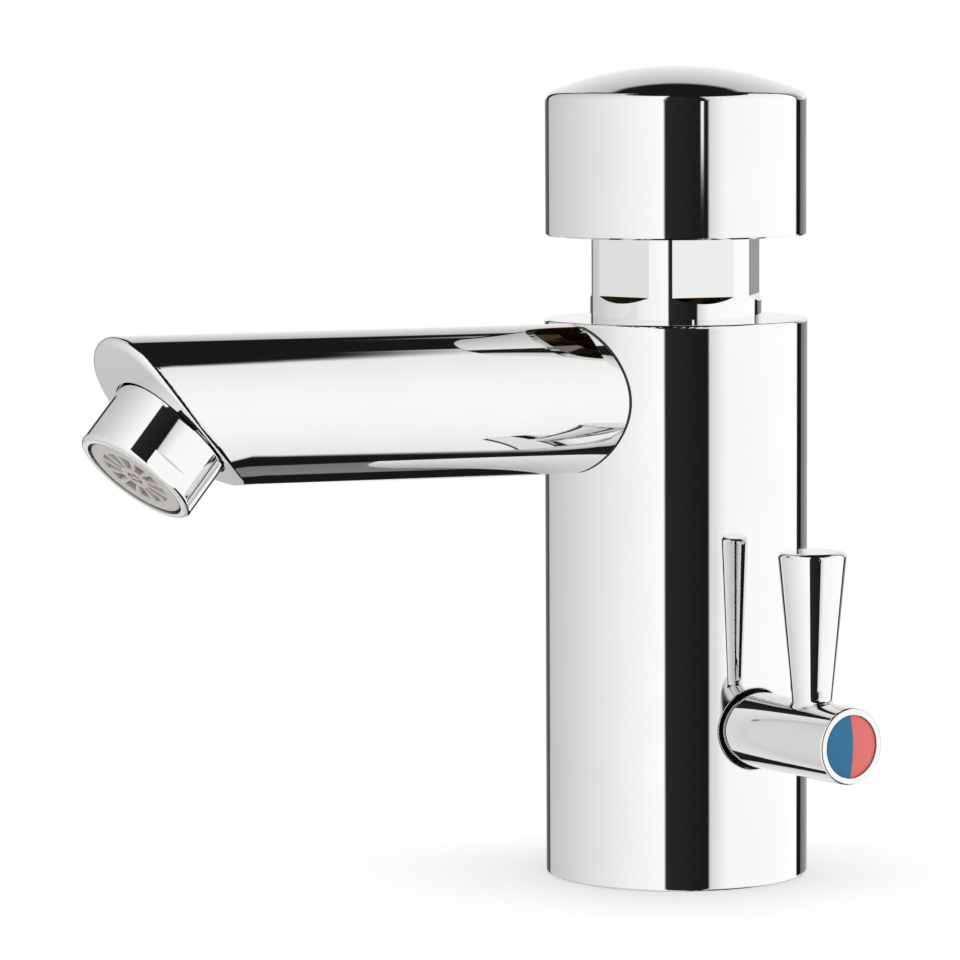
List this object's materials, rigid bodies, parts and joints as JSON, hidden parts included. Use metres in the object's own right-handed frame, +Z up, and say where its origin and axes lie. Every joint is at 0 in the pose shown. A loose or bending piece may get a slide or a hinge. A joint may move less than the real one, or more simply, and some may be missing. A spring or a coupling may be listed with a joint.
{
  "type": "push timed tap",
  "caption": "Deck basin tap: round body, straight spout with a tilted outlet, domed push button that returns on a timer, and a side lever that sets the temperature.",
  "frame": {"origin": "centre of the body's foot, on the deck", "axes": "+Z up along the body, -Y towards the spout's outlet, +X towards the temperature lever"},
  "size_m": [0.0788, 0.1532, 0.154],
  "materials": {
    "chrome": "polished chrome plate on brass",
    "brass": "machined",
    "stainless": "drawn and turned",
    "rubber": "moulded",
    "acetal": "moulded",
    "insert_plastic": "moulded",
    "ceramic": "lapped ceramic",
    "blue_plastic": "moulded",
    "red_plastic": "moulded",
    "fibre": "pressed fibre"
  },
  "bodies": {
    "tap": {"tap_body": "chrome", "spout": "chrome", "aerator_ring": "chrome", "cartridge_nut": "chrome", "valve_seat": "brass", "mixer_gland": "brass", "cold_inlet_union": "brass", "hot_inlet_union": "brass", "stud_bush": "brass", "return_spring": "stainless", "stop_pin": "stainless", "aerator_screens": "stainless", "base_seal": "rubber", "spout_gasket": "rubber", "spout_o_ring": "rubber", "barrel_seal": "rubber", "aerator_washer": "rubber", "nut_o_ring": "rubber", "rod_seal": "rubber", "cylinder_o_ring": "rubber", "seat_gasket": "rubber", "gland_o_ring": "rubber", "port_seals": "rubber", "rod_guide": "acetal", "timing_cylinder": "acetal", "aerator_disperser": "acetal", "cold_check_valve": "acetal", "hot_check_valve": "acetal", "aerator_insert": "insert_plastic", "fixed_disc": "ceramic", "union_gaskets": "fibre"},
    "button": {"push_button": "chrome", "button_lock_nut": "stainless", "push_rod": "stainless", "piston": "acetal", "piston_seal": "rubber", "piston_clips": "stainless", "valve_washer": "rubber", "washer_cup": "brass", "rod_end_nut": "brass"},
    "temperature": {"temperature_lever": "chrome", "cold_index": "blue_plastic", "hot_index": "red_plastic", "lever_screw": "stainless", "mixer_spindle": "brass", "spindle_o_rings": "rubber", "turning_disc": "ceramic"}
  },
  "joints": [
    {"name": "button_press", "type": "slide", "parent": "tap", "child": "button", "axis": [0, 0, -1], "range_m": [0, 0.008], "stiffness_N_per_m": 900, "springref_m": -0.012, "deforming": ["return_spring"]},
    {"name": "temperature_turn", "type": "hinge", "parent": "tap", "child": "temperature", "pos_m": [0, 0, 0.0301], "axis": [1, 0, 0], "range_deg": [-45, 45]}
  ]
}
